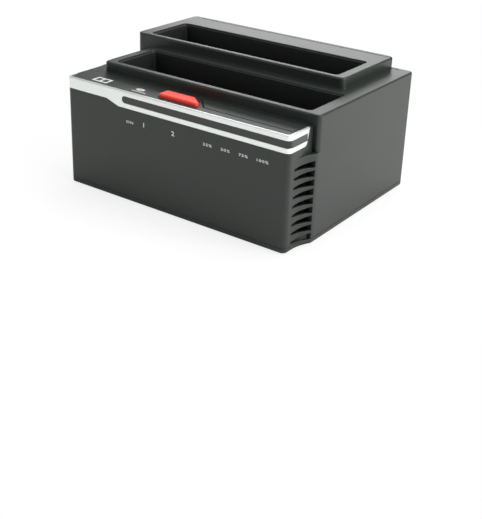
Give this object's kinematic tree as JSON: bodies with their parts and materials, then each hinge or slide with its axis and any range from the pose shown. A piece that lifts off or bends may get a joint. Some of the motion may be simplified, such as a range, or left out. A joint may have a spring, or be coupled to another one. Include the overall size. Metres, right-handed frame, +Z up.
{
  "type": "hard drive docking station",
  "caption": "Desktop dock with stepped wells for bare 3.5 inch drives, a sprung copy button on its front deck, and rear sockets beside a rocker switch.",
  "frame": {"origin": "on the ground under the centre of the bounding box", "axes": "+X to the dock's right side seen from its front, -Y towards the front with the copy button, +Z up"},
  "size_m": [0.1316, 0.1046, 0.0634],
  "materials": {
    "body_plastic": "fine satin texture",
    "bezel_plastic": "fine satin texture",
    "silver_paint": "satin silver paint",
    "smoked_window": "polished, see-through when lit",
    "rear_plastic": "satin",
    "red_plate": "satin",
    "liner_plastic": "fine texture",
    "circuit_board": "solder mask, satin",
    "black_plastic": "moulded",
    "gold_contacts": "gold plated",
    "nickel_shell": "nickel plated sheet",
    "white_plastic": "moulded",
    "switch_frame": "moulded",
    "rocker_plastic": "moulded, satin",
    "wire_cover": "extruded PVC",
    "chip_plastic": "moulded epoxy",
    "can_aluminium": "drawn can",
    "steel": "zinc plated",
    "lamp_resin": "clear tinted resin",
    "button_red": "glossy",
    "ribbon_grey": "flat cable",
    "foot_rubber": "moulded"
  },
  "bodies": {
    "case": {"main_housing": "body_plastic", "front_bezel": "bezel_plastic", "trim_band": "silver_paint", "indicator_lens": "smoked_window", "rear_cover": "rear_plastic", "connector_panel": "rear_plastic", "port_plate": "red_plate", "base_tray": "body_plastic", "front_bay_liner": "liner_plastic", "rear_bay_liner": "liner_plastic", "main_board": "circuit_board", "front_drive_socket": "black_plastic", "rear_drive_socket": "black_plastic", "front_socket_contacts": "gold_contacts", "rear_socket_contacts": "gold_contacts", "data_port_shell": "nickel_shell", "data_port_core": "white_plastic", "data_port_contacts": "gold_contacts", "power_jack_body": "black_plastic", "power_jack_pin": "nickel_shell", "power_jack_leaf": "nickel_shell", "link_port_shell": "nickel_shell", "link_port_core": "white_plastic", "link_port_base": "white_plastic", "link_port_contacts": "gold_contacts", "switch_housing": "switch_frame", "switch_terminals": "nickel_shell", "switch_leads": "wire_cover", "bridge_chip": "chip_plastic", "copy_chip": "chip_plastic", "chip_leads": "nickel_shell", "capacitors": "can_aluminium", "inductors": "chip_plastic", "crystal": "steel", "front_board": "circuit_board", "indicator_lamps": "lamp_resin", "lamp_wires": "nickel_shell", "push_switch": "black_plastic", "link_ribbon": "ribbon_grey", "ribbon_sockets": "white_plastic", "rubber_feet": "foot_rubber", "case_screws": "steel", "board_screws": "steel", "liner_screws": "steel", "front_board_screws": "steel"},
    "copy_button": {"copy_button": "button_red", "switch_plunger": "black_plastic"},
    "switch_rocker": {"switch_rocker": "rocker_plastic"}
  },
  "joints": [
    {"name": "copy_press", "type": "slide", "parent": "case", "child": "copy_button", "axis": [0, 0, -1], "range_m": [0, 0.0006], "stiffness_N_per_m": 2000, "springref_m": -0.0004},
    {"name": "power_rock", "type": "hinge", "parent": "case", "child": "switch_rocker", "pos_m": [0.0309, 0.04869, 0.0162], "axis": [-1, 0, 0], "range_deg": [0, 22]}
  ]
}
